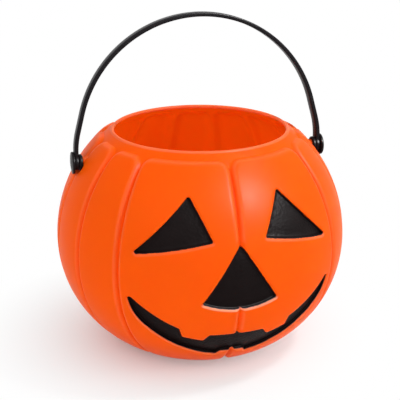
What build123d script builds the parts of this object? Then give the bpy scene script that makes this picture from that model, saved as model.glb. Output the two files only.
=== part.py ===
from build123d import *
import os
from math import acos, asin, atan2, degrees, hypot, radians, sin, sqrt, tan

# A pumpkin candy pail. Millimetres, z = 0 on the table under the foot, the pail's axis on Z,
# the face towards -Y. Left and right are as seen by someone looking at the face.

# Shell: a blow-moulded hollow pumpkin, its wall the same all over
BELLY_R = 108.0            # greatest radius, over the lobes
BELLY_Z = 82.3             # height of the greatest radius
UPPER_R = 105.5            # radius of the profile's arc above the belly
LOWER_R = 89.0             # radius of the profile's arc below the belly
MOUTH_R = 64.4             # radius of the opening, at the middle of the rounded lip
LIP_LAND_ANGLE = 72.0      # where the lip's round ends at its flat top, outside
LIP_FLARE_ANGLE = 120.0    # and inside
WALL = 2.0
FOOT_WIDTH = 6.0           # flat ring that the pail stands on
FOOT_PUSH_UP = 3.0         # hollow under the bottom, inside that ring

# Lobes: raised pads between narrow grooves
FACE_LOBE = 47.0           # degrees round the pail of each of the two lobes that carry the face
SIDE_LOBES = 2             # narrow lobes on from there to the handle's pivot, on each side
BACK_LOBES = 4             # and from the pivot to the middle of the back
LOBE_RISE = 2.5            # height of a lobe over the grooves
LOBE_TOP_R = 72.2          # radius where the lobes end below the smooth collar
LOBE_FOOT_Z = 4.0          # height where they end above the foot
LOBE_CORNER = 6.0
LOBE_ROUND = 2.0           # rounding along the lobes' edges
GROOVE_WIDTH = 1.2         # bottom of a groove, at the belly

# Face: sunk outlines in front view, (x, z) of the right half, with a black coat on their floors
FACE_DEPTH = 3.2
FACE_CORNER = 1.2          # rounding of the outlines' corners
EYE_APEX = (30.6, 140.0)
EYE_INNER = (18.9, 113.4)
EYE_OUTER = (67.0, 103.6)
NOSE_TIP_Z = 110.0
NOSE_CORNER = (25.4, 70.5)
NOSE_BOTTOM_Z = 65.2
SMILE_TIP = (70.7, 69.5)
SMILE_UPPER = (55.0, 57.8)           # on the upper lip, half way along its outer run
TOOTH_ROOT_OUT = (39.9, 48.8)
TOOTH_EDGE_OUT = (37.6, 41.1)
TOOTH_EDGE_IN = (22.7, 37.1)
TOOTH_ROOT_IN = (19.1, 42.7)
SMILE_CHEEK = (61.5, 50.2)           # where the lower lip turns up more sharply
SMILE_LOWER = (36.0, 30.6)           # on the lower lip, half way to the chin tooth
CHIN_TOOTH_ROOT = (11.0, 20.4)
CHIN_TOOTH_EDGE = (8.8, 25.6)
PAINT = 0.4
PAINT_FIT = 0.05           # between the coat and the sunk floor and walls

# Handle: a flat strap bent to an arch, an eye at each end
PIVOT_Z = 144.0
STRAP_THICKNESS = 3.0
STRAP_WIDTH = 8.0
STRAP_ROUND = 0.5
STRAP_RISE = 102.2         # middle of the strap over the pivots, at the top of the arch
LEG_UPRIGHT = 14.5         # height over the pivots where the upright legs start to lean in
LEG_BEND_R = 20.0
ARCH_DRAW_IN = 2.6         # how much less the arch's radius is than the legs' distance from the axis
EYE_END_R = 5.5
REST_TILT = 2.5            # degrees that the handle stands back from upright

# Pivots: a button with its pin, a spacer collar outside the shell, a push-on washer inside it
PIN_R = 2.0
PIN_RUN = 0.08             # radial clearance of the strap's eye on the pin
PIN_FIT = 0.03             # radial clearance of the pieces that stay still on the pin
STRAP_PLAY = 0.15          # on each side of the strap, between button and collar
BUTTON_R = 8.0
BUTTON_THICKNESS = 2.6
BUTTON_DOME = 0.9          # part of that thickness that is domed
COLLAR_R = 6.0
COLLAR_THICKNESS = 2.6
COLLAR_ROUND = 0.8
WASHER_R = 4.5
WASHER_THICKNESS = 1.5
PIN_TAIL = 1.2             # pin past the washer
PIN_CHAMFER = 0.5
NECK_R = 4.0               # moulded neck that the pin runs through
NECK_LENGTH = 10.0         # from the collar's seat, level with the lobes, in to the washer's seat
POCKET_CLEARANCE = 0.7     # of the shell round the collar

UPPER_X = BELLY_R - UPPER_R
LOWER_X = BELLY_R - LOWER_R
GROOVE_INSET = LOBE_RISE
CAVITY_INSET = LOBE_RISE + WALL
LIP_ARC_R = UPPER_R - LOBE_RISE - WALL / 2
LIP_ANGLE = degrees(acos((MOUTH_R - UPPER_X) / LIP_ARC_R))
LIP_Z = BELLY_Z + LIP_ARC_R * sin(radians(LIP_ANGLE))
LOBE_TOP_ANGLE = degrees(acos((LOBE_TOP_R - UPPER_X) / UPPER_R))
LOBE_FOOT_ANGLE = degrees(asin((BELLY_Z - LOBE_FOOT_Z) / LOWER_R))
GROOVE_ANGLE = degrees(GROOVE_WIDTH / BELLY_R)
WALL_ANGLE = degrees(WALL / BELLY_R)
SEAM_OVERLAP = 0.6         # how far a lobe reaches into the body that carries it
PIVOT_TURN = 90.0          # degrees round from the front to the handle's pivots
BACK_TURN = 180.0
PICK_TOLERANCE = 0.01      # for finding an edge by where it lies


def profile_arc(z):
    """Centre and radius of the profile's arc at a height."""
    return (UPPER_X, UPPER_R) if z > BELLY_Z else (LOWER_X, LOWER_R)


def body_radius(inset, z):
    """Radius of the profile moved in by the inset, at a height."""
    arc_x, arc_r = profile_arc(z)
    return arc_x + sqrt((arc_r - inset) ** 2 - (z - BELLY_Z) ** 2)


def lip_round(start_angle, end_angle):
    """Part of the lip's rounded edge, in the profile."""
    return CenterArc((MOUTH_R, LIP_Z), WALL / 2, start_angle, end_angle - start_angle)


def turned_body(inset, bottom_z, lip=()):
    """The solid pumpkin without lobes, its profile moved in by the inset and ended by the lip's lines."""
    low_angle = degrees(asin((BELLY_Z - bottom_z) / (LOWER_R - inset)))
    lower = CenterArc((LOWER_X, BELLY_Z), LOWER_R - inset, -low_angle, low_angle)
    upper = CenterArc((UPPER_X, BELLY_Z), UPPER_R - inset, 0, LIP_ANGLE)
    outline = lower + upper
    top = upper @ 1
    for line in lip:
        outline += line
        top = line @ 1
    outline += Polyline(top, (0, top.Y), (0, bottom_z), lower @ 0)
    return revolve(Plane.XZ * make_face(outline), Axis.Z)


def inset_of(point):
    """How far a point lies inside the profile over the lobes."""
    arc_x, arc_r = profile_arc(point.Z)
    return arc_r - hypot(hypot(point.X, point.Y) - arc_x, point.Z - BELLY_Z)


def lobe(sweep, inset, thickness, top_angle, foot_angle, corner, edge):
    """One raised pad, from the +X side on through the sweep, with rounded corners and edges."""
    inner = inset + thickness
    lower_out = CenterArc((LOWER_X, BELLY_Z), LOWER_R - inset, -foot_angle, foot_angle)
    upper_out = CenterArc((UPPER_X, BELLY_Z), UPPER_R - inset, 0, top_angle)
    lower_in = CenterArc((LOWER_X, BELLY_Z), LOWER_R - inner, -foot_angle, foot_angle)
    upper_in = CenterArc((UPPER_X, BELLY_Z), UPPER_R - inner, 0, top_angle)
    ends = Line(upper_out @ 1, upper_in @ 1) + Line(lower_in @ 0, lower_out @ 0)
    strip = make_face(lower_out + upper_out + lower_in + upper_in + ends)
    pad = revolve(Plane.XZ * strip, Axis.Z, sweep)
    pad = fillet(pad.edges().filter_by(GeomType.LINE), corner)
    if not edge:
        return pad
    crest = [e for e in pad.edges()
             if all(abs(inset_of(e @ t) - inset) < PICK_TOLERANCE for t in (0, 0.5, 1))]
    rim = [e for e in crest if abs((e @ 0.5).Z - BELLY_Z) > PICK_TOLERANCE]
    return fillet(rim, edge)


def lobes(inset, margin, top_angle, foot_angle, corner, edge):
    """All the lobes, the two wide ones of the face on either side of the front groove."""
    runs = ((0, FACE_LOBE, 1), (FACE_LOBE, PIVOT_TURN, SIDE_LOBES), (PIVOT_TURN, BACK_TURN, BACK_LOBES))
    pads = []
    for start, end, count in runs:
        sweep = (end - start) / count
        pad = lobe(sweep - margin, inset, LOBE_RISE + SEAM_OVERLAP, top_angle, foot_angle, corner, edge)
        for step in range(count):
            right = start + step * sweep
            for turn in (right, -right - sweep):
                pads.append(Rot(0, 0, turn + margin / 2 - 90) * pad)
    return pads


def mirrored(points):
    return [(-x, z) for x, z in reversed(points)]


def eye_outline():
    eye = make_face(Polyline(EYE_APEX, EYE_INNER, EYE_OUTER, close=True))
    return fillet(eye.vertices(), FACE_CORNER)


def nose_outline():
    left = (-NOSE_CORNER[0], NOSE_CORNER[1])
    sides = Polyline(NOSE_CORNER, (0, NOSE_TIP_Z), left)
    nose = make_face(sides + ThreePointArc(left, (0, NOSE_BOTTOM_Z), NOSE_CORNER))
    return fillet(nose.vertices(), FACE_CORNER)


def smile_outline():
    teeth = [TOOTH_ROOT_OUT, TOOTH_EDGE_OUT, TOOTH_EDGE_IN, TOOTH_ROOT_IN]
    chin = [CHIN_TOOTH_ROOT, CHIN_TOOTH_EDGE]
    upper = ThreePointArc(SMILE_TIP, SMILE_UPPER, TOOTH_ROOT_OUT)
    lower = ThreePointArc(CHIN_TOOTH_ROOT, SMILE_LOWER, SMILE_CHEEK)
    half = upper + lower + TangentArc(SMILE_CHEEK, SMILE_TIP, tangent=lower % 1)
    outline = half + mirror(half, Plane.YZ)
    outline += Polyline(*teeth, *mirrored(teeth))
    outline += Polyline(*chin, *mirrored(chin))
    smile = make_face(outline)
    corners = [v for v in smile.vertices() if abs(abs(v.X) - SMILE_CHEEK[0]) > FACE_CORNER]
    return fillet(corners, FACE_CORNER)


def face_outlines():
    """The four sunk outlines in front view."""
    eye = eye_outline()
    return {"left_eye": mirror(eye, Plane.YZ), "right_eye": eye, "nose": nose_outline(),
            "mouth": smile_outline()}


def through_front(outline, spread):
    """The outline, grown by the spread, carried through the front half of the pail."""
    grown = offset(outline, spread) if spread else outline
    return extrude(Plane.XZ * grown, BELLY_R + WALL)


def pivot_cylinder(radius, start_x, end_x):
    """A cylinder on the right pivot's axis."""
    return Plane((start_x, 0, PIVOT_Z), z_dir=(1, 0, 0)) * Cylinder(
        radius, end_x - start_x, align=(Align.CENTER, Align.CENTER, Align.MIN))


def both_sides(right):
    return [right, mirror(right, Plane.YZ)]


NECK_OUT_X = body_radius(0, PIVOT_Z)
NECK_IN_X = NECK_OUT_X - NECK_LENGTH


def pail_shell(outlines):
    base_up = (Align.CENTER, Align.CENTER, Align.MIN)
    push_up_r = body_radius(GROOVE_INSET, 0) - FOOT_WIDTH
    pocket_r = COLLAR_R + POCKET_CLEARANCE

    outer = turned_body(GROOVE_INSET, 0, [lip_round(LIP_ANGLE, LIP_LAND_ANGLE)])
    outer -= Cylinder(push_up_r, FOOT_PUSH_UP, align=base_up)
    outer += lobes(0, GROOVE_ANGLE, LOBE_TOP_ANGLE, LOBE_FOOT_ANGLE, LOBE_CORNER, LOBE_ROUND)
    core = turned_body(FACE_DEPTH, 0)
    for outline in outlines.values():
        outer -= through_front(outline, 0) - core
    outer += both_sides(pivot_cylinder(NECK_R, NECK_IN_X, NECK_OUT_X))
    outer -= both_sides(pivot_cylinder(pocket_r, NECK_OUT_X, BELLY_R))
    outer -= both_sides(pivot_cylinder(PIN_R + PIN_FIT, NECK_IN_X - WALL, BELLY_R))

    flare = lip_round(LIP_ANGLE + 180, LIP_FLARE_ANGLE)
    flare_up = flare @ 1 + flare % 1 * WALL
    cavity = turned_body(CAVITY_INSET, WALL, [flare, Line(flare @ 1, flare_up)])
    cavity -= Cylinder(push_up_r + WALL, FOOT_PUSH_UP + WALL, align=base_up)
    cavity += lobes(WALL, GROOVE_ANGLE + 2 * WALL_ANGLE, LOBE_TOP_ANGLE - WALL_ANGLE,
                    LOBE_FOOT_ANGLE - WALL_ANGLE, LOBE_CORNER - WALL, LOBE_ROUND - WALL)
    backing = turned_body(FACE_DEPTH + WALL, 0)
    for outline in outlines.values():
        cavity -= through_front(outline, WALL) - backing
    cavity -= both_sides(pivot_cylinder(pocket_r + WALL, NECK_OUT_X - WALL, BELLY_R))
    cavity -= both_sides(pivot_cylinder(NECK_R, NECK_IN_X, NECK_OUT_X))
    return outer - cavity


def face_coat(outline):
    """The black coat on one sunk floor."""
    outside = turned_body(FACE_DEPTH - PAINT_FIT - PAINT, 0)
    inside = turned_body(FACE_DEPTH - PAINT_FIT, 0)
    return (through_front(outline, -PAINT_FIT) & outside) - inside


STRAP_X = NECK_OUT_X + COLLAR_THICKNESS + STRAP_PLAY + STRAP_THICKNESS / 2
ARCH_R = STRAP_X - ARCH_DRAW_IN
ARCH_Z = STRAP_RISE - ARCH_R
LEG_TOP_UP = LEG_UPRIGHT - ARCH_Z
LEG_LEAN = degrees(atan2(LEG_TOP_UP, STRAP_X) + acos(ARCH_R / hypot(STRAP_X, LEG_TOP_UP)))


def arch_line(outward):
    """The strap's run in front view, over the pivots, moved outward from its middle."""
    bend_z = LEG_UPRIGHT - LEG_BEND_R * tan(radians(LEG_LEAN / 2))
    foot = Line((STRAP_X + outward, 0), (STRAP_X + outward, bend_z))
    bend = CenterArc((STRAP_X - LEG_BEND_R, bend_z), LEG_BEND_R + outward, 0, LEG_LEAN)
    crown = CenterArc((0, ARCH_Z), ARCH_R + outward, LEG_LEAN, 180 - 2 * LEG_LEAN)
    leg = foot + bend + Line(bend @ 1, crown @ 0)
    return leg + crown + mirror(leg, Plane.YZ)


def carry_handle():
    half = STRAP_THICKNESS / 2
    ends = [Line((side * (STRAP_X - half), 0), (side * (STRAP_X + half), 0)) for side in (-1, 1)]
    band = make_face(arch_line(half) + arch_line(-half) + ends[0] + ends[1])
    strap = extrude(Plane.XZ.offset(-STRAP_WIDTH / 2) * band, STRAP_WIDTH)
    long_edges = [e for f in strap.faces().filter_by(Axis.Y) for e in f.edges()]
    strap = fillet([e for e in long_edges if e.bounding_box().max.Z > STRAP_ROUND], STRAP_ROUND)
    strap = Pos(0, 0, PIVOT_Z) * Rot(-REST_TILT, 0, 0) * strap
    strap += both_sides(pivot_cylinder(EYE_END_R, STRAP_X - half, STRAP_X + half))
    return strap - both_sides(pivot_cylinder(PIN_R + PIN_RUN, 0, BELLY_R))


def pivot_button():
    """Domed head outside the strap, with the pin that runs through to the washer."""
    under_x = STRAP_X + STRAP_THICKNESS / 2 + STRAP_PLAY
    rim_x = under_x + BUTTON_THICKNESS - BUTTON_DOME
    tail_x = NECK_IN_X - WASHER_THICKNESS - PIN_TAIL
    dome_r = (BUTTON_R ** 2 + BUTTON_DOME ** 2) / (2 * BUTTON_DOME)
    crown_x = rim_x + BUTTON_DOME
    dome = CenterArc((crown_x - dome_r, 0), dome_r, 0, degrees(asin(BUTTON_R / dome_r)))
    outline = dome + Polyline((crown_x, 0), (tail_x, 0), (tail_x, PIN_R - PIN_CHAMFER),
                              (tail_x + PIN_CHAMFER, PIN_R), (under_x, PIN_R), (under_x, BUTTON_R),
                              (rim_x, BUTTON_R))
    return Pos(0, 0, PIVOT_Z) * revolve(make_face(outline), Axis.X)


def spacer_collar():
    ring = pivot_cylinder(COLLAR_R, NECK_OUT_X, NECK_OUT_X + COLLAR_THICKNESS)
    ring = fillet(ring.edges(), COLLAR_ROUND)
    return ring - pivot_cylinder(PIN_R + PIN_FIT, 0, BELLY_R)


def retaining_washer():
    ring = pivot_cylinder(WASHER_R, NECK_IN_X - WASHER_THICKNESS, NECK_IN_X)
    return ring - pivot_cylinder(PIN_R + PIN_FIT, 0, BELLY_R)


outlines = face_outlines()
parts = {"pail_shell": pail_shell(outlines), "carry_handle": carry_handle()}
for name, outline in outlines.items():
    parts[name + "_paint"] = face_coat(outline)
for name, piece in (("pivot_button", pivot_button()), ("spacer_collar", spacer_collar()),
                    ("retaining_washer", retaining_washer())):
    parts[name + "_right"] = piece
    parts[name + "_left"] = mirror(piece, Plane.YZ)

os.makedirs("parts", exist_ok=True)
for name, shape in parts.items():
    export_step(shape, f"parts/{name}.step")
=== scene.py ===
from math import acos, asin, atan2, cos, hypot, pi, radians, sin, sqrt, tan

import bmesh
import bpy
import numpy as np
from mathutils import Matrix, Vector, geometry


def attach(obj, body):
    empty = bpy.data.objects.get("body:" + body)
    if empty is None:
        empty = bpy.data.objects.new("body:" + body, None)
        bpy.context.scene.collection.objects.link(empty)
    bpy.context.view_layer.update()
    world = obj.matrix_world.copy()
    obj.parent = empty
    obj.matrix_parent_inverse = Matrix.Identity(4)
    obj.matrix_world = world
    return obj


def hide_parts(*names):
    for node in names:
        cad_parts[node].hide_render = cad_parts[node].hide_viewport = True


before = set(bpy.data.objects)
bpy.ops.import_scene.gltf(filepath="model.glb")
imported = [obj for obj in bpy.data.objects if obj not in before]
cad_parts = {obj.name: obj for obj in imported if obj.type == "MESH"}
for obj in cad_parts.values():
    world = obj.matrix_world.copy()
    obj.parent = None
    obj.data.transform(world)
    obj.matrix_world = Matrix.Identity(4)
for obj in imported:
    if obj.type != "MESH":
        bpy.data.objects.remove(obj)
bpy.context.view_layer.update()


# The pail's wall: a hollow pumpkin, blow moulded in one piece from orange polyethylene. Raised lobes
# stand between narrow grooves, the face is sunk into the two wide front lobes, a plain collar ends in
# a rounded lip, and a neck for the handle's pin stands in the groove on each side. Lengths are in mm.
MM = 0.001
BELLY_R = 108.0
BELLY_Z = 82.3
UPPER_R = 105.5
LOWER_R = 89.0
WALL = 2.0
LOBE_RISE = 2.5
LOBE_TOP_R = 72.2
LOBE_FOOT_Z = 4.0
LOBE_CORNER = 7.5
SHOULDER = 3.4      # rounded edge of a lobe, beside a groove
GROOVE_HALF = 0.35
CREASE = 0.6        # depth of the line along the middle of a groove
GROOVES = np.array([0, 47, 68.5, 90, 112.5, 135, 157.5, 180, -157.5, -135, -112.5, -90, -68.5, -47])
MOUTH_R = 64.4
LIP_R = 1.25        # the lip is a little thicker than the wall
UPPER_X = BELLY_R - UPPER_R
LIP_ARC = UPPER_R - LOBE_RISE - WALL / 2
LIP_ANGLE = acos((MOUTH_R - UPPER_X) / LIP_ARC)
LIP_Z = BELLY_Z + LIP_ARC * sin(LIP_ANGLE)
LIP_TURN = acos(WALL / 2 / LIP_R)


def profile(s, inset):
    """Radius and height at a length s along the wall, up from the belly, on the surface set in."""
    arc = np.where(s > 0, UPPER_R, LOWER_R)
    turn = s / arc
    return BELLY_R - arc + (arc - inset) * np.cos(turn), BELLY_Z + (arc - inset) * np.sin(turn)


def length_at(z):
    """The length s along the outer wall at a height."""
    arc = np.where(z > BELLY_Z, UPPER_R, LOWER_R)
    return arc * np.arcsin((z - BELLY_Z) / arc)


def radius_at(z, inset):
    arc = np.where(z > BELLY_Z, UPPER_R, LOWER_R)
    return BELLY_R - arc + np.sqrt((arc - inset) ** 2 - (z - BELLY_Z) ** 2)


LOBE_TOP = UPPER_R * acos((LOBE_TOP_R - UPPER_X) / UPPER_R)
LOBE_FOOT = float(length_at(LOBE_FOOT_Z))
LIP_S = UPPER_R * LIP_ANGLE - LIP_R * sin(LIP_TURN)
FOOT_S = -LOWER_R * asin(BELLY_Z / (LOWER_R - LOBE_RISE))
INNER_FOOT_S = -LOWER_R * asin((BELLY_Z - WALL) / (LOWER_R - LOBE_RISE - WALL))
HOLLOW_R = float(profile(FOOT_S, LOBE_RISE)[0]) - 6     # the hollow under the bottom, inside the foot


def groove_gap(theta, s):
    """Distance round the wall to the nearest groove's middle."""
    gap = np.abs((np.asarray(theta)[..., None] - GROOVES + 180) % 360 - 180).min(-1)
    return np.radians(gap) * profile(s, 0)[0]


def lobe_height(theta, s, groove_half, shoulder):
    """How far inside a lobe's rounded outline a point is, from 0 at its edge to 1 past the shoulder."""
    side = groove_gap(theta, s) - groove_half
    end = np.minimum(0.7 * (LOBE_TOP - s), s - LOBE_FOOT)
    corner = np.hypot(np.maximum(LOBE_CORNER - side, 0), np.maximum(LOBE_CORNER - end, 0))
    return np.clip((LOBE_CORNER - corner) / shoulder, 0, 1)


def outer_inset(theta, s):
    crease = CREASE * np.exp(-groove_gap(theta, s) ** 2) * np.clip((LOBE_TOP - s) / 12, 0, 1)
    return LOBE_RISE * (1 - lobe_height(theta, s, GROOVE_HALF, SHOULDER)) ** 2 + crease


def inner_inset(theta, s):
    share = lobe_height(theta, s, 0, 7.0)
    return WALL + LOBE_RISE * (1 - share * share * (3 - 2 * share))


def turned(theta, radius, z):
    turn = np.radians(theta)
    return np.stack([radius * np.sin(turn), -radius * np.cos(turn), z + 0 * turn], -1)


def on_wall(theta, s, inset):
    return turned(theta, *profile(s, inset))


def sunk(points, inset):
    """Points pushed straight back from the front until they lie on the surface set in that far."""
    x, y, z = points[:, 0], points[:, 1], points[:, 2]
    floor_y = -np.sqrt(radius_at(z, inset) ** 2 - x ** 2)
    return np.stack([x, np.maximum(y, floor_y), z], -1)


# the face's outlines in front view, x + z j, each run from corner to corner, the inside on its left
def line(start, end):
    return np.linspace(start, end, max(2, round(abs(end - start) / 1.3)))


def arc(start, middle, end):
    """Points on the circle through three points."""
    w = (end - start) / (middle - start)
    centre = start - (start - middle) * (w - abs(w) ** 2) / 2j / w.imag
    sweep = np.angle((end - centre) / (start - centre))
    steps = max(3, round(abs(sweep) * abs(start - centre) / 1.3))
    return centre + (start - centre) * np.exp(1j * sweep * np.linspace(0, 1, steps))


def rounded(runs):
    """A closed outline through the runs, its corners rounded, the inward ones more widely."""
    rounds, cuts = [], []
    for run, follower in zip(runs, runs[1:] + runs[:1]):
        way = (run[-1] - run[-2]) / abs(run[-1] - run[-2])
        turn = np.angle((follower[1] - follower[0]) / way)
        radius = 0.9 if turn > 0 else 2.4
        cut = radius * tan(abs(turn) / 2)
        start = run[-1] - cut * way
        centre = start + np.sign(turn) * 1j * radius * way
        rounds.append(centre + (start - centre) * np.exp(1j * turn * np.linspace(0, 1, 6)))
        cuts.append(cut)
    loop = []
    for run, before, after, corner in zip(runs, cuts[-1:] + cuts[:-1], cuts, rounds):
        keep = (abs(run - run[0]) > before + 0.5) & (abs(run - run[-1]) > after + 0.5)
        loop += [run[keep], corner]
    return np.concatenate(loop)


def moved_out(loop, distance):
    ahead = np.roll(loop, -1) - loop
    normal = -1j * ahead / abs(ahead)
    before = np.roll(normal, 1)
    return loop + distance * (before + normal) / (1 + (before * normal.conj()).real)


def swapped(points):
    """The mirror image, kept running the same way round."""
    return -np.conj(points[::-1])


EYE_APEX, EYE_INNER, EYE_OUTER = 30.5 + 140.7j, 18.4 + 113.1j, 69 + 102.5j
right_eye = rounded([line(EYE_APEX, EYE_INNER), line(EYE_INNER, EYE_OUTER), line(EYE_OUTER, EYE_APEX)])
NOSE_TIP, NOSE_CORNER, NOSE_BOTTOM = 110.8j, 25.9 + 70.3j, 65.2j
nose = rounded([line(NOSE_TIP, -NOSE_CORNER.conjugate()),
                arc(-NOSE_CORNER.conjugate(), NOSE_BOTTOM, NOSE_CORNER), line(NOSE_CORNER, NOSE_TIP)])
SMILE_TIP, SMILE_UPPER = 72.3 + 72.5j, 55 + 57.8j
TOOTH = [39.9 + 48.8j, 37.6 + 41.1j, 22.7 + 37.1j, 19.1 + 42.7j]
SMILE_CHEEK, SMILE_LOWER = 61.5 + 50.2j, 36 + 30.6j
CHIN = [11 + 20.4j, 8.8 + 24.2j]
chin_run = arc(CHIN[0], SMILE_LOWER, SMILE_CHEEK)
cheek_step = np.diff(chin_run)[-2:]
cheek_chord = SMILE_TIP - SMILE_CHEEK
cheek_turn = np.angle(cheek_chord / (cheek_step[1] * np.sqrt(cheek_step[1] / cheek_step[0])))
cheek_bend = (SMILE_TIP + SMILE_CHEEK) / 2 - 0.5j * cheek_chord * tan(cheek_turn / 2)
lower_lip = np.concatenate([chin_run[:-1], arc(SMILE_CHEEK, cheek_bend, SMILE_TIP)])
tooth = [line(a, b) for a, b in zip(TOOTH, TOOTH[1:])]
upper_lip = arc(SMILE_TIP, SMILE_UPPER, TOOTH[0])
smile = rounded([upper_lip, *tooth, line(TOOTH[-1], -TOOTH[-1].conjugate()),
                 *[swapped(run) for run in tooth[::-1]], swapped(upper_lip), swapped(lower_lip),
                 swapped(line(CHIN[1], CHIN[0])), line(-CHIN[1].conjugate(), CHIN[1]),
                 line(CHIN[1], CHIN[0]), lower_lip])
outlines = {"left_eye": swapped(right_eye), "right_eye": right_eye, "nose": nose, "mouth": smile}

# a sunk outline's edge from the lobe's crest to its floor: how far out from the outline, how deep
FACE_DEPTH = 3.2
EDGE_ROUND = 2.2
edge_turns = np.radians([0, 20, 40, 60, 80])
sunk_edge = [(EDGE_ROUND * (1 - sin(a)), EDGE_ROUND * (1 - cos(a))) for a in edge_turns]
sunk_edge += [(-0.1, 2.4), (-0.2, 2.8), (-0.4, 3.08), (-0.75, FACE_DEPTH)]


def sunk_ring(loop, out, depth):
    """One line of a sunk edge: its place on the unrolled wall, and its points."""
    ring = moved_out(loop, out)
    theta = np.degrees(np.arcsin(ring.real / radius_at(ring.imag, 0)))
    s = length_at(ring.imag)
    wall = on_wall(theta, s, outer_inset(theta, s))
    return np.radians(theta) * BELLY_R + 1j * s, sunk(wall, depth)


# the sheet of quads: columns round the pail, rows from under the bottom, over the lip, to the inside
edge_steps = np.degrees(np.array([0, 0.35, 0.75, 1.3, 2, 2.8, 3.8, 5.2, 7]) / BELLY_R)
columns = []
for groove, following in zip(np.sort(GROOVES), [*np.sort(GROOVES)[1:], 202.5]):
    middle = np.linspace(groove + edge_steps[-1], following - edge_steps[-1],
                         round((following - groove) / 2))
    columns += [groove + edge_steps[:-1], middle, following - edge_steps[-2:0:-1]]
columns = np.concatenate(columns)
end_steps = np.array([0, 0.35, 0.8, 1.4, 2.2, 3.2, 4.6, 6.4, 8.8])
lobe_rows = np.linspace(LOBE_FOOT + end_steps[-1], LOBE_TOP - end_steps[-1], 60)
outer_s = np.concatenate([np.linspace(FOOT_S, LOBE_FOOT, 7)[:-1], LOBE_FOOT + end_steps[:-1], lobe_rows,
                          (LOBE_TOP - end_steps[:-1])[::-1], np.linspace(LOBE_TOP, LIP_S, 8)[1:-1]])
inner_s = np.concatenate([np.linspace(LIP_S, LOBE_TOP, 6)[1:], (LOBE_TOP - end_steps[1:]),
                          lobe_rows[-2:0:-1], LOBE_FOOT + end_steps[::-1],
                          np.linspace(LOBE_FOOT, INNER_FOOT_S, 5)[1:]])
under_rows = [(14, 3), (28, 3)]
under_rows += [(HOLLOW_R + out, z) for out, z in
               ((-2, 3), (-0.6, 2.6), (0, 1.4), (0.3, 0.4), (1, 0), (3.5, 0))]
floor_rows = [(HOLLOW_R + out, z) for out, z in ((4.9, 2.1), (3.5, 2.5), (2.5, 3.6), (1.5, 4.7), (-0.1, 5))]
floor_rows += [(28, 5), (14, 5)]
lip_turns = LIP_ANGLE + np.linspace(-LIP_TURN, pi + LIP_TURN, 18)


def in_loop(spots, loop):
    """Which spots lie inside a closed loop."""
    a, b = loop, np.roll(loop, -1)
    p = np.asarray(spots)[:, None]
    span = (a.imag > p.imag) != (b.imag > p.imag)
    rise = np.where(a.imag == b.imag, 1, b.imag - a.imag)
    return (span & (p.real < (b.real - a.real) * (p.imag - a.imag) / rise + a.real)).sum(1) % 2 == 1


def gap_to(spots, loop):
    """Each spot's distance from a closed loop."""
    a, run = loop, np.roll(loop, -1) - loop
    p = np.asarray(spots)[:, None] - a
    share = np.clip((p * run.conj()).real / abs(run) ** 2, 0, 1)
    return abs(p - share * run).min(1)


def face_gap(x, z):
    """Distance from each point in front view to the nearest outline, negative inside it."""
    nearest = np.full(x.shape, 1e3)
    spot = x + 1j * z
    for loop in outlines.values():
        gap = gap_to(spot, loop)
        nearest = np.minimum(nearest, np.where(in_loop(spot, loop), -gap, gap))
    return nearest


turn_length = np.radians(columns) * BELLY_R
rows = [turned(columns, radius, z) for radius, z in under_rows]
first_outer = len(rows)
for s in outer_s:
    rows.append(on_wall(columns, s, outer_inset(columns, s)))
for turn in lip_turns:
    rows.append(turned(columns, MOUTH_R + LIP_R * cos(turn), LIP_Z + LIP_R * sin(turn)))
first_inner = len(rows)
for s in inner_s:
    inset = inner_inset(columns, s)
    wall = on_wall(columns, s, inset)
    front = np.abs(columns) < 60
    behind = np.clip((2.5 - face_gap(wall[front, 0], wall[front, 2])) / 3, 0, 1)
    bump = behind * behind * (3 - 2 * behind)
    inset[front] += np.maximum(FACE_DEPTH + WALL - inset[front], 0) * bump
    rows.append(on_wall(columns, s, inset))
for radius, z in floor_rows:
    rows.append(turned(columns, radius, z))
points = np.concatenate(rows)
row_s = np.concatenate([np.zeros(len(under_rows)), outer_s, np.zeros(len(lip_turns)), inner_s,
                        np.zeros(len(floor_rows))])
flat = (turn_length[None, :] + 1j * row_s[:, None]).ravel()
ids = np.arange(len(points)).reshape(len(rows), len(columns))
taken_out = np.zeros(ids.shape, bool)
faces = []


def add_points(place, new_points):
    """Appends points to the sheet and returns their numbers."""
    global points, flat
    start = len(points)
    points = np.concatenate([points, new_points])
    flat = np.concatenate([flat, place])
    return list(range(start, len(points)))


def open_patch(first_row, row_values, low_s, high_s, low_turn, high_turn):
    """Takes a rectangle out of the sheet and returns its border and the points inside it."""
    use = first_row + np.flatnonzero((row_values >= low_s) & (row_values <= high_s))
    across = np.flatnonzero((columns >= low_turn) & (columns <= high_turn))
    taken_out[use[0]:use[-1], across[0]:across[-1]] = True
    block = ids[use[0]:use[-1] + 1, across[0]:across[-1] + 1]
    border = [*block[0, :-1], *block[:-1, -1], *block[-1, :0:-1], *block[:0:-1, 0]]
    return border, block[1:-1, 1:-1].ravel()


def filled(place, loops, loose, wanted):
    """Triangles through closed loops and loose points, kept where their middles are wanted."""
    used = [i for loop in loops for i in loop] + list(loose)
    local = {i: k for k, i in enumerate(used)}
    edges = [(local[a], local[b]) for loop in loops for a, b in zip(loop, loop[1:] + loop[:1])]
    spots = [Vector((place[i].real, place[i].imag)) for i in used]
    cut = geometry.delaunay_2d_cdt(spots, edges, [], 0, 1e-6, True)
    triangles = np.array([[used[cut[3][v][0]] for v in face] for face in cut[2]])
    return triangles[wanted(place[triangles].mean(1))].tolist()


def strip(first, second):
    """Quads between two rings with the same number of points."""
    return [[a, b, d, c] for a, b, c, d in zip(first, first[1:] + first[:1], second, second[1:] + second[:1])]


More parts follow.
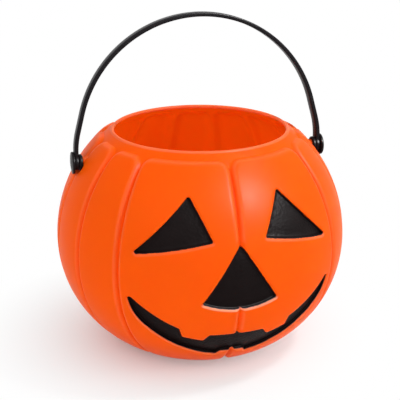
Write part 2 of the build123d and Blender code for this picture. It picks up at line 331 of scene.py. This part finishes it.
# the face: each outline's edge as rings of quads, joined to the sheet and to its own floor
border, loose = open_patch(first_outer, outer_s, -84, 70, -50, 50)
face_rings, face_floors = {}, {}
for name, loop in outlines.items():
    face_rings[name] = [add_points(*sunk_ring(loop, *step)) for step in sunk_edge]
outer_rings = [rings[0] for rings in face_rings.values()]
free = np.ones(len(loose), bool)
for name, rings in face_rings.items():
    outside, inside = flat[rings[0]], flat[rings[-1]]
    within = in_loop(flat[loose], outside)
    free &= ~within & (gap_to(flat[loose], outside) > 0.8)
    floor = loose[in_loop(flat[loose], inside) & (gap_to(flat[loose], inside) > 0.8)]
    points[floor] = sunk(points[floor], FACE_DEPTH)
    triangles = filled(flat, [rings[-1]], floor, lambda middle: in_loop(middle, inside))
    face_floors[name] = (floor, triangles)
    faces += triangles
    for first, second in zip(rings, rings[1:]):
        faces += strip(first, second)
faces += filled(flat, [border, *outer_rings], loose[free],
                lambda middle: ~np.any([in_loop(middle, flat[ring]) for ring in outer_rings], 0))

# the pivot necks: a sunk seat round a short boss on the outside, and the boss's end on the inside
PIVOT_Z = 144.0
PIN_HOLE_R = 2.03
NECK_R = 4.0
NECK_OUT_X = float(radius_at(PIVOT_Z, 0))
NECK_IN_X = NECK_OUT_X - 10
around = np.linspace(0, 2 * pi, 40, endpoint=False)


def low_of(a, b, blend):
    """The lower of two surfaces, with a rounded join."""
    share = np.clip(0.5 + 0.5 * (b - a) / blend, 0, 1)
    return b + (a - b) * share - blend * share * (1 - share)


def pivot_ring(side, radius, depth_of):
    """A ring round the pin; depth_of turns the wall's own distance from the middle into the ring's."""
    y, z = radius * np.cos(around), PIVOT_Z + radius * np.sin(around)
    theta = side * (90 + np.degrees(np.arcsin(np.clip(y / 87, -1, 1))))
    s = length_at(z)
    x = depth_of(theta, s, y, z)
    turn = np.arctan2(side * x, -y)
    place = turn * BELLY_R + 1j * UPPER_R * np.arctan2(z - BELLY_Z, np.hypot(x, y) - UPPER_X)
    return add_points(place, np.stack([side * x, y, z], -1))


def seat(theta, s, y, z, lift):
    wall = np.sqrt(radius_at(z, outer_inset(theta, s)) ** 2 - y ** 2)
    return low_of(wall, NECK_OUT_X - 0.2 + lift, 0.5)


def inner_seat(theta, s, y, z):
    wall = np.sqrt(radius_at(z, inner_inset(theta, s)) ** 2 - y ** 2)
    return low_of(wall, NECK_OUT_X - WALL, 0.5)


pivot_s = float(length_at(PIVOT_Z))
for side in (-1, 1):
    low, high = sorted((side * 79.5, side * 100.5))
    border, loose = open_patch(first_outer, outer_s, pivot_s - 15, pivot_s + 19.5, low, high)
    rings = [pivot_ring(side, radius, lambda *at, lift=lift: seat(*at, lift)) for radius, lift in
             ((9.8, 9.0), (8.6, 5.0), (7.9, 3.0), (7.3, 1.4), (6.9, 0.4), (6.5, 0.0), (5.2, 0.0), (4.5, 0.0))]
    rings.append(pivot_ring(side, 4.15, lambda *at: np.minimum(seat(*at, 0.0) + 0.4, NECK_OUT_X - 0.15)))
    for radius, x in ((NECK_R, NECK_OUT_X - 0.1), (NECK_R - 0.15, NECK_OUT_X), (PIN_HOLE_R, NECK_OUT_X)):
        rings.append(pivot_ring(side, radius, lambda *at, x=x: x + 0 * at[2]))
    hole = flat[rings[0]]
    free = loose[~in_loop(flat[loose], hole) & (gap_to(flat[loose], hole) > 0.7)]
    faces += filled(flat, [border, rings[0]], free, lambda middle: ~in_loop(middle, hole))
    for first, second in zip(rings, rings[1:]):
        faces += strip(first, second)
    mouth_of_hole = rings[-1]

    border, loose = open_patch(first_inner, inner_s, pivot_s - 15, pivot_s + 19.5, low, high)
    rings = [pivot_ring(side, radius, inner_seat) for radius in (8.5, 6.5, 5.2, 4.6)]
    rings.append(pivot_ring(side, 4.15, lambda *at: np.maximum(inner_seat(*at) - 0.4, NECK_IN_X + 0.15)))
    for radius, x in ((NECK_R, NECK_IN_X + 0.1), (NECK_R - 0.15, NECK_IN_X), (PIN_HOLE_R, NECK_IN_X)):
        rings.append(pivot_ring(side, radius, lambda *at, x=x: x + 0 * at[2]))
    inner_hole = flat[rings[0]]
    free = loose[~in_loop(flat[loose], inner_hole) & (gap_to(flat[loose], inner_hole) > 0.7)]
    faces += filled(flat, [border, rings[0]], free, lambda middle: ~in_loop(middle, inner_hole))
    for first, second in zip(rings, rings[1:]):
        faces += strip(first, second)
    faces += strip(rings[-1], mouth_of_hole)

for row, (lower, upper) in enumerate(zip(ids, ids[1:])):
    quads = strip(list(lower), list(upper))
    faces += [quad for quad, gone in zip(quads, taken_out[row]) if not gone]
for row, height in ((0, under_rows[0][1]), (-1, floor_rows[-1][1])):
    centre = add_points(np.zeros(1, complex), np.array([[0.0, 0, height]]))[0]
    faces += [[a, b, centre] for a, b in zip(ids[row], np.roll(ids[row], -1))]


def add_piece(name, piece_points, piece_faces, finish, **marks):
    """A smooth mesh object from points in mm; each mark gives every point a number for its finish."""
    mesh = bpy.data.meshes.new(name)
    mesh.from_pydata((np.asarray(piece_points) * MM).tolist(), [], [[int(i) for i in f] for f in piece_faces])
    for mark, values in marks.items():
        mesh.attributes.new(mark, "FLOAT", "POINT").data.foreach_set("value", values)
    shape = bmesh.new()
    shape.from_mesh(mesh)
    bmesh.ops.delete(shape, geom=[v for v in shape.verts if not v.link_faces], context="VERTS")
    bmesh.ops.recalc_face_normals(shape, faces=shape.faces)
    shape.to_mesh(mesh)
    shape.free()
    mesh.shade_smooth()
    mesh.materials.append(finish.material)
    piece = bpy.data.objects.new(name, mesh)
    bpy.context.scene.collection.objects.link(piece)
    return piece


class Value:
    """A changing value among shader nodes. Arithmetic on it adds the maths nodes."""

    def __init__(self, nodes, socket):
        self.nodes = nodes
        self.socket = socket

    def __add__(self, other):
        return self.nodes.node("Math", {"operation": "ADD"}, {0: self, 1: other})

    def __mul__(self, other):
        return self.nodes.node("Math", {"operation": "MULTIPLY"}, {0: self, 1: other})

    __radd__ = __add__
    __rmul__ = __mul__


class Nodes:
    """A tree of shader nodes."""

    def __init__(self, tree):
        self.tree = tree

    def node(self, kind, settings, sockets, output=0):
        node = self.tree.nodes.new("ShaderNode" + kind)
        for name, value in settings.items():
            setattr(node, name, value)
        for name, value in sockets.items():
            self.feed(node.inputs[name], value)
        return Value(self, node.outputs[output])

    def feed(self, socket, value):
        if isinstance(value, Value):
            self.tree.links.new(value.socket, socket)
        else:
            socket.default_value = value


class Finish(Nodes):
    """A material: its shader, with the values that stay the same, and the nodes that feed it."""

    def __init__(self, name, **constants):
        self.material = bpy.data.materials.new(name)
        self.material.use_nodes = True
        super().__init__(self.material.node_tree)
        self.shader = self.tree.nodes["Principled BSDF"]
        self.dress(**constants)

    def dress(self, **values):
        for socket, value in values.items():
            self.feed(self.shader.inputs[socket.replace("_", " ")], value)

    def place(self):
        return self.node("TexCoord", {}, {}, "Object")

    def mark(self, name):
        return self.node("Attribute", {"attribute_name": name}, {}, "Fac")

    def noise(self, size, detail, place):
        """Noise about 0.5, its features about the given size in metres."""
        return self.node("TexNoise", {}, {"Vector": place, "Scale": 1 / size, "Detail": detail}, "Fac")

    def mixed(self, share, first, second):
        return self.node("Mix", {"data_type": "RGBA"}, {0: share, 6: first, 7: second}, 2)

    def bumped(self, height, depth, strength):
        """The normal of a surface raised by height times depth, in metres."""
        return self.node("Bump", {}, {"Height": height, "Distance": depth, "Strength": strength})


orange = Finish("orange polyethylene", IOR=1.5, Specular_IOR_Level=0.02, Subsurface_Weight=0.3,
                Subsurface_Radius=(1.0, 0.35, 0.1), Subsurface_Scale=0.002)
spot = orange.place()
blotch = orange.noise(0.035, 3, spot)
grain = orange.noise(0.0009, 2, spot)
scuff = orange.noise(0.009, 5, spot)
colour = orange.mixed(blotch, (0.95, 0.094, 0.0025, 1), (0.97, 0.106, 0.0035, 1))
# the inside is painted a lighter, yellower orange: painted light, for the glow inside the pail
colour = orange.mixed(orange.mark("inside"), colour, (0.93, 0.15, 0.003, 1))
orange.dress(
    # the pale pink mixed in here is a painted highlight, placed by the mesh's highlight mark and made uneven by
    # the scuff noise
    Base_Color=orange.mixed(orange.mark("rubbed") * (0.6 + 0.5 * scuff), colour, (1.0, 0.32, 0.18, 1)),
    Roughness=0.28 + 0.12 * scuff + 0.06 * grain,
    Normal=orange.bumped(0.75 * grain + 0.25 * scuff, 0.00012, 0.3))

# the painted highlights, pale pink where light would catch the lobes' shoulders, the lip and the upward-facing
# lower edges of the face; and the inside, painted a lighter orange as painted light for the glow inside the
# pail
reach = np.hypot(points[:, 0], points[:, 1])
arcs = np.where(points[:, 2] > BELLY_Z, UPPER_R, LOWER_R)
beside, above = reach - BELLY_R + arcs, points[:, 2] - BELLY_Z
height = lobe_height(np.degrees(np.arctan2(points[:, 0], -points[:, 1])), arcs * np.arctan2(above, beside),
                     GROOVE_HALF, SHOULDER)
# painted highlight along each raised lobe's shoulder
rubbed = np.where(np.hypot(beside, above) > arcs - LOBE_RISE - 0.3, 1.1 * height ** 2 * (1 - height), 0)
# painted highlight along the lip
rubbed[ids[first_inner - len(lip_turns):first_inner].ravel()] = 0.35
# how strongly each outline's upward-facing lower edge gets a painted highlight: on the wall's rounded edge
# here, and as a grey glint on the coat's end below
edge_highlight = {"left_eye": 0.15, "right_eye": 0.25, "nose": 1.0, "mouth": 0.3}
for name, loop in outlines.items():
    edge_highlight[name] = edge_highlight[name] * np.clip(1.5 * (loop - moved_out(loop, 1)).imag, 0, 1)
    for ring, share in zip(face_rings[name], (0, 1, 1, 1)):
        rubbed[ring] = share * edge_highlight[name]
inside = np.zeros(len(points))
inside[ids[first_inner:].ravel()] = 1
pail = add_piece("moulded_pail", points, faces, orange, rubbed=rubbed, inside=inside)
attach(pail, "pail")
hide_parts("pail_shell")


# The face's black coats: paint sprayed through a mask into the sunk eyes, nose and mouth. It covers
# their floors and walls and runs out, not quite evenly, on the rounded edge.
COAT = 0.12
COAT_KEY = 0.1      # the coat's underside, kept within the wall
black_paint = Finish("black sprayed paint", IOR=1.48, Specular_IOR_Level=0.05)
spot = black_paint.place()
speckle = black_paint.noise(0.0016, 3, spot)
cloud = black_paint.noise(0.012, 4, spot)
colour = black_paint.mixed(cloud, (0.004, 0.0015, 0.0015, 1), (0.008, 0.004, 0.004, 1))
black_paint.dress(
    # the grey mixed in here is a painted glint along the coat's upper end on the face's lower edges, placed by
    # the highlight mark and made uneven by the speckle noise
    Base_Color=black_paint.mixed(black_paint.mark("rubbed") * (0.4 + 0.6 * speckle), colour,
                                 (0.32, 0.27, 0.27, 1)),
    Roughness=0.24 + 0.12 * cloud + 0.24 * speckle,
    Normal=black_paint.bumped(speckle, 0.0003, 1.0))


def wander(count, seed, slowest, fastest):
    """An even run of small ups and downs round a loop, between about -1 and 1."""
    source = np.random.default_rng(seed)
    t = np.arange(count) / count
    waves = [np.sin(2 * pi * (k * t + source.random())) / sqrt(k) for k in range(slowest, fastest)]
    total = np.sum(waves, 0)
    return total / abs(total).max()


coat_shares = np.array([0.25, 0.5, 0.72, 0.88, 1])     # steps down the wall, from the coat's end to the floor
edge_outs, edge_depths = np.array(sunk_edge).T
for seed, (name, loop) in enumerate(outlines.items()):
    ends = 1.0 + 0.14 * wander(len(loop), seed, 9, 60)
    coat_points = [sunk_ring(loop, np.interp(ends, edge_depths, edge_outs), ends)[1]]
    for lift in (COAT, -COAT_KEY):
        for share in coat_shares:
            depth = ends + (FACE_DEPTH - ends) * share
            out = np.interp(depth, edge_depths, edge_outs)
            coat_points.append(sunk_ring(loop, out - lift, depth - lift)[1])
        floor, triangles = face_floors[name]
        middle = points[floor].copy()
        middle[:, 1] = -1e3
        coat_points.append(sunk(middle, FACE_DEPTH - lift))
    sizes = np.cumsum([0] + [len(group) for group in coat_points])
    groups = [list(range(a, b)) for a, b in zip(sizes, sizes[1:])]
    coat_faces = []
    side = len(coat_shares) + 1
    for layer in (groups[1:1 + side], groups[1 + side:]):
        for first, second in zip([groups[0], *layer[:-2]], layer[:-1]):
            coat_faces += strip(first, second)
        number = dict(zip([*face_rings[name][-1], *floor], [*layer[-2], *layer[-1]]))
        coat_faces += [[number[i] for i in triangle] for triangle in triangles]
    # painted glint: the coat's end ring gets the grey on the upward-facing lower edges
    rubbed = np.concatenate([edge_highlight[name], np.zeros(sizes[-1] - len(loop))])
    coat = add_piece(name + "_coat", np.concatenate(coat_points), coat_faces, black_paint, rubbed=rubbed)
    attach(coat, "pail")
    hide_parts(name + "_paint")


# The pivots: on each side a black moulded button whose pin runs through the strap's eye, a spacer
# collar and the neck, and a push-on washer that holds it from inside. All are turned shapes.
PIN_R = 2.0
BUTTON_R = 8.0
BUTTON_RIM = 1.7
BUTTON_CROWN = 2.6
COLLAR_R = 6.0
COLLAR_END_X = NECK_OUT_X + 2.6
STRAP_PLAY = 0.15
STRAP_THICKNESS = 3.0
BUTTON_IN_X = COLLAR_END_X + STRAP_THICKNESS + 2 * STRAP_PLAY
WASHER_R = 4.5
WASHER_END_X = NECK_IN_X - 1.5
PIN_END_X = WASHER_END_X - 1.2


def eased(corners, rounds, steps=5):
    """A run of (x, radius) corners, each rounded by its own radius."""
    run = [complex(*c) for c in corners]
    out = [run[0]]
    for before, corner, after, radius in zip(run, run[1:], run[2:], rounds):
        way = (corner - before) / abs(corner - before)
        turn = np.angle((after - corner) / way)
        start = corner - radius * tan(abs(turn) / 2) * way
        centre = start + np.sign(turn) * 1j * radius * way
        out += list(centre + (start - centre) * np.exp(1j * turn * np.linspace(0, 1, steps)))
    return out + [run[-1]]


def turned_piece(name, side, outline, closed, finish):
    """A shape turned about the pivots' axis from an outline of x + radius j."""
    turns = np.linspace(0, 2 * pi, 64, endpoint=False)
    rings = [np.stack([side * p.real + 0 * turns, p.imag * np.cos(turns), PIVOT_Z + p.imag * np.sin(turns)], -1)
             for p in outline]
    groups = [list(range(64 * k, 64 * (k + 1))) for k in range(len(outline))]
    piece_faces = []
    for first, second in zip(groups, groups[1:] + groups[:1] if closed else groups[1:]):
        piece_faces += strip(first, second)
    piece_points = np.concatenate(rings)
    if not closed:
        tips = [[side * outline[k].real, 0, PIVOT_Z] for k in (0, -1)]
        piece_points = np.concatenate([piece_points, tips])
        for ring, tip in ((groups[0], -2), (groups[-1], -1)):
            centre = len(piece_points) + tip
            piece_faces += [[a, b, centre] for a, b in zip(ring, ring[1:] + ring[:1])]
    return add_piece(name, piece_points, piece_faces, finish)


black_plastic = Finish("black moulded plastic", IOR=1.49, Specular_IOR_Level=0.05)
spot = black_plastic.place()
pebble = black_plastic.noise(0.0007, 2, spot)
rub = black_plastic.noise(0.006, 5, spot)
black_plastic.dress(
    Base_Color=black_plastic.mixed(rub, (0.008, 0.007, 0.008, 1), (0.016, 0.014, 0.016, 1)),
    Roughness=0.22 + 0.12 * rub + 0.05 * pebble,
    Normal=black_plastic.bumped(0.6 * pebble + 0.4 * rub, 0.00006, 0.12))
washer_grey = Finish("grey washer plastic", IOR=1.49)
spot = washer_grey.place()
swirl = washer_grey.noise(0.003, 4, spot)
washer_grey.dress(
    Base_Color=washer_grey.mixed(swirl, (0.035, 0.035, 0.037, 1), (0.06, 0.06, 0.062, 1)),
    Roughness=0.4 + 0.2 * swirl,
    Normal=washer_grey.bumped(swirl, 0.0001, 0.4))

dome_r = (BUTTON_R ** 2 + (BUTTON_CROWN - BUTTON_RIM) ** 2) / (2 * (BUTTON_CROWN - BUTTON_RIM))
dome_turns = np.linspace(0.003, 0.95 * asin(BUTTON_R / dome_r), 9)
crown = [BUTTON_IN_X + BUTTON_CROWN - dome_r + dome_r * np.exp(1j * a) for a in dome_turns]
rim = eased([(crown[-1].real, crown[-1].imag), (BUTTON_IN_X + BUTTON_RIM, BUTTON_R), (BUTTON_IN_X, BUTTON_R),
             (BUTTON_IN_X, PIN_R), (PIN_END_X, PIN_R), (PIN_END_X, 0.2)], (0.5, 0.45, 0.1, 0.5))
button_outline = crown[:-1] + rim
collar_outline = eased([(NECK_OUT_X, 4), (NECK_OUT_X, COLLAR_R), (COLLAR_END_X, COLLAR_R),
                        (COLLAR_END_X, PIN_HOLE_R), (NECK_OUT_X, PIN_HOLE_R), (NECK_OUT_X, 3.9)],
                       (0.9, 0.9, 0.15, 0.15))
washer_outline = eased([(NECK_IN_X, 3), (NECK_IN_X, WASHER_R), (WASHER_END_X + 0.5, WASHER_R),
                        (WASHER_END_X, 3.2), (WASHER_END_X, PIN_HOLE_R), (NECK_IN_X, PIN_HOLE_R),
                        (NECK_IN_X, 2.9)], (0.25, 0.2, 0.6, 0.15, 0.1))
for side, hand in ((-1, "left"), (1, "right")):
    for name, node, slot, outline, closed, finish in (
            ("button_", "pivot_button_", "black_plastic", button_outline, False, black_plastic),
            ("collar_", "spacer_collar_", "black_plastic", collar_outline, True, black_plastic),
            ("washer_", "retaining_washer_", "washer_plastic", washer_outline, True, washer_grey)):
        piece = turned_piece(name + hand, side, outline, closed, finish)
        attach(piece, "pail")
        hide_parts(node + hand)


# The carry handle: a flat strap of black plastic, moulded straight with an eye at each end and bent
# to an arch when it is hung on the pins. It is laid out flat here and then bent.
STRAP_X = COLLAR_END_X + STRAP_PLAY + STRAP_THICKNESS / 2
STRAP_HALF_WIDTH = 4.0
STRAP_ROUND = 0.7
STRAP_RISE = 102.2
EYE_END_R = 5.5
EYE_HOLE_R = 2.08
LEG_UPRIGHT = 14.5
LEG_BEND_R = 60.0
ARCH_R = STRAP_X - 2.6
ARCH_Z = STRAP_RISE - ARCH_R
REST_TILT = radians(2.5)    # the handle stands a little back from upright
leg_lean = atan2(LEG_UPRIGHT - ARCH_Z, STRAP_X) + acos(ARCH_R / hypot(STRAP_X, LEG_UPRIGHT - ARCH_Z))
bend_z = LEG_UPRIGHT - LEG_BEND_R * tan(leg_lean / 2)
bend = STRAP_X - LEG_BEND_R + 1j * bend_z + LEG_BEND_R * np.exp(1j * np.linspace(0, leg_lean, 20))
arch = 1j * ARCH_Z + ARCH_R * np.exp(1j * np.linspace(leg_lean, pi - leg_lean, 400))
leg = np.concatenate([np.linspace(STRAP_X - 8j, STRAP_X + 1j * bend_z, 40)[:-1], bend,
                      np.linspace(bend[-1], arch[0], 30)[1:-1]])
run = np.concatenate([leg, arch, -leg[::-1].conj()])
run_length = np.concatenate([[0], np.cumsum(abs(np.diff(run)))]) - 8
run_way = np.gradient(run) / abs(np.gradient(run))
strap_length = run_length[-1] - 8


def bent(along, across, up):
    """Points of the flat strap on its arch: length from the right pin, width, height over its middle."""
    spot = np.interp(along, run_length, run.real) + 1j * np.interp(along, run_length, run.imag)
    way = np.interp(along, run_length, run_way.real) + 1j * np.interp(along, run_length, run_way.imag)
    spot = spot - 1j * way / abs(way) * up
    back = across * cos(REST_TILT) + spot.imag * sin(REST_TILT)
    return np.stack([spot.real, back, PIVOT_Z + spot.imag * cos(REST_TILT) - across * sin(REST_TILT)], -1)


eye_turn = asin(STRAP_HALF_WIDTH / EYE_END_R)
eye_end = EYE_END_R * np.exp(1j * np.linspace(eye_turn, 2 * pi - eye_turn, 28))
edge = np.linspace(eye_end[-1], strap_length - eye_end[0], 160)[1:-1]
half = np.concatenate([eye_end, edge])
strap_loop = np.concatenate([half, strap_length - half])
strap_place, strap_points, strap_faces = [], [], []


def strap_ring(loop, up):
    start = sum(len(group) for group in strap_place)
    strap_place.append(loop)
    strap_points.append(bent(loop.real, loop.imag, up))
    return list(range(start, start + len(loop)))


edge_turns = np.radians([0, 30, 60, 90])
hole = EYE_HOLE_R * np.exp(-1j * np.linspace(0, 2 * pi, 28, endpoint=False))
edges = {}
for face_side in (1, -1):
    flat_half = STRAP_THICKNESS / 2 - STRAP_ROUND
    rings = [strap_ring(moved_out(strap_loop, STRAP_ROUND * (cos(a) - 1)),
                        face_side * (flat_half + STRAP_ROUND * sin(a))) for a in edge_turns]
    eyes = []
    for middle in (0, strap_length):
        eyes.append([strap_ring(middle + hole, face_side * (STRAP_THICKNESS / 2 - 0.25)),
                     strap_ring(middle + 1.12 * hole, face_side * STRAP_THICKNESS / 2)])
    place = np.concatenate(strap_place)
    loops = [rings[-1], eyes[0][-1], eyes[1][-1]]
    strap_faces += filled(place, loops, [],
                          lambda middle: np.sum([in_loop(middle, place[loop]) for loop in loops], 0) == 1)
    for first, second in [*zip(rings, rings[1:]), *eyes]:
        strap_faces += strip(first, second)
    edges[face_side] = [rings[0], eyes[0][0], eyes[1][0]]
for first, second in zip(edges[1], edges[-1]):
    strap_faces += strip(first, second)
strap = add_piece("strap", np.concatenate(strap_points), strap_faces, black_plastic)
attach(strap, "handle")
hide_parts("carry_handle")


# The studio: a white floor and surround, a key lamp high at the right, weaker ones left and right of
# the camera, a small one inside the pail for the light that comes through its thin wall, a softbox
# that only shows in the gloss, and the camera at the photograph's height and angle.
floor_mesh = bpy.data.meshes.new("studio_floor")
floor_mesh.from_pydata([(-8, -8, 0), (8, -8, 0), (8, 8, 0), (-8, 8, 0)], [], [(0, 1, 2, 3)])
floor = bpy.data.objects.new("studio_floor", floor_mesh)
bpy.context.scene.collection.objects.link(floor)
white = Finish("white floor", Roughness=0.9, Specular_IOR_Level=0.0)
spot = white.place()
white.dress(Base_Color=white.mixed(white.noise(0.4, 2, spot), (0.88, 0.91, 0.91, 1), (0.9, 0.93, 0.93, 1)))
far = white.node("VectorMath", {"operation": "DISTANCE"}, {0: spot, 1: (-0.022, 0.005, 0)}, "Value")
away = white.node("MapRange", {"interpolation_type": "SMOOTHSTEP"},
                  {"Value": far, "From Min": 0.0, "From Max": 0.172})
seen = [white.node("LightPath", {}, {}, f"Is {ray} Ray") for ray in ("Camera", "Glossy", "Transmission")]
glow = white.node("Emission", {}, {"Color": (1, 1, 1, 1), "Strength": 1.0})
lit = Value(white, white.shader.outputs[0])
surface = white.node("MixShader", {}, {0: away * (seen[0] + seen[1] + seen[2]), 1: lit, 2: glow})
white.feed(white.tree.nodes["Material Output"].inputs["Surface"], surface)
floor_mesh.materials.append(white.material)

world = bpy.data.worlds.new("studio")
bpy.context.scene.world = world
world.use_nodes = True
sky = Nodes(world.node_tree)
seen = [sky.node("LightPath", {}, {}, f"Is {ray} Ray") for ray in ("Camera", "Glossy", "Transmission")]
ambient = sky.node("Background", {}, {"Color": (1, 1, 1, 1), "Strength": 0.7})
backdrop = sky.node("Background", {}, {"Color": (1, 1, 1, 1), "Strength": 1.0})
surface = sky.node("MixShader", {}, {0: seen[0] + seen[1] + seen[2], 1: ambient, 2: backdrop})
sky.feed(sky.tree.nodes["World Output"].inputs["Surface"], surface)


def add_lamp(name, place, target, size, power):
    lamp = bpy.data.lights.new(name, "AREA")
    lamp.shape = "DISK"
    lamp.size = size
    lamp.energy = power
    holder = bpy.data.objects.new(name, lamp)
    holder.location = place
    holder.rotation_euler = (Vector(target) - Vector(place)).to_track_quat("-Z", "Y").to_euler()
    bpy.context.scene.collection.objects.link(holder)
    return holder


add_lamp("key_lamp", (0.7, -0.25, 1.25), (0, 0, 0.1), 0.2, 8.0)
add_lamp("left_lamp", (-0.75, -0.9, 0.75), (0, 0, 0.1), 1.0, 3.0)
add_lamp("right_lamp", (1.05, -0.7, 0.65), (0, 0, 0.1), 0.35, 2.4)
add_lamp("inside_lamp", (-0.045, -0.03, 0.06), (0.01, 0.03, 0.16), 0.05, 0.045)
softbox = add_lamp("softbox", (0.51, -0.77, 0.9), (0, -0.06, 0.13), 0.4, 95.0)
softbox.visible_diffuse = False

camera_data = bpy.data.cameras.new("camera")
camera_data.sensor_width = 36.0
camera_data.lens = 88.37
camera = bpy.data.objects.new("camera", camera_data)
camera.location = (-0.1836, -0.6756, 0.3565)
camera.rotation_euler = Vector((0.2471, 0.9089, -0.3360)).to_track_quat("-Z", "Y").to_euler()
bpy.context.scene.collection.objects.link(camera)
bpy.context.scene.camera = camera
bpy.context.scene.view_settings.view_transform = "Standard"
